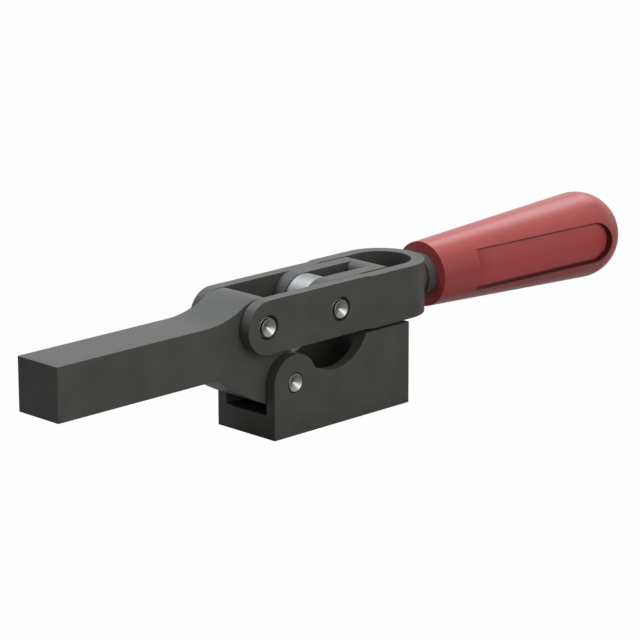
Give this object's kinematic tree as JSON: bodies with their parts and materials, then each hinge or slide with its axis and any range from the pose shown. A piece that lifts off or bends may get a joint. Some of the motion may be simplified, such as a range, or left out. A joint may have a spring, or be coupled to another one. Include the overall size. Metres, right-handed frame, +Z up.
{
  "type": "horizontal toggle clamp",
  "caption": "Heavy horizontal toggle clamp: solid square clamping bar, forged yoke handle with a red grip, toggle link and solid weld-on base",
  "frame": {"origin": "centre of the base's bottom face", "axes": "+X along the clamp from the tip of the bar to the grip, +Z up out of the base, +Y across"},
  "size_m": [0.3765, 0.0437, 0.0768],
  "materials": {
    "forged_steel": "black oxide, satin",
    "pin_steel": "ground, satin",
    "bush_steel": "ground, bright",
    "grip_vinyl": "moulded, satin"
  },
  "bodies": {
    "base": {"base": "forged_steel", "arm_pivot_pin": "pin_steel"},
    "arm": {"clamp_arm": "forged_steel", "arm_lower_bushing": "bush_steel", "arm_upper_bushing": "bush_steel"},
    "handle": {"handle": "forged_steel", "handle_pivot_pin": "pin_steel", "toggle_pin": "pin_steel", "link_spacer": "bush_steel", "grip": "grip_vinyl"},
    "link": {"toggle_link": "forged_steel", "base_link_pin": "pin_steel"}
  },
  "joints": [
    {"name": "arm_pivot", "type": "hinge", "parent": "base", "child": "arm", "pos_m": [-0.03095, 0, 0.0253], "axis": [0, 1, 0], "range_deg": [0, 85]},
    {"name": "handle_pivot", "type": "hinge", "parent": "arm", "child": "handle", "pos_m": [-0.0482, 0, 0.05485], "axis": [0, -1, 0], "range_deg": [0, 144]},
    {"name": "toggle_pivot", "type": "hinge", "parent": "handle", "child": "link", "pos_m": [-0.0018, 0, 0.05485], "axis": [0, 1, 0], "range_deg": [0, 133.3]}
  ],
  "couplings": [
    {"joint": "handle_pivot", "follows": "arm_pivot", "ratio": 1.694},
    {"joint": "toggle_pivot", "follows": "arm_pivot", "ratio": 1.5675}
  ]
}
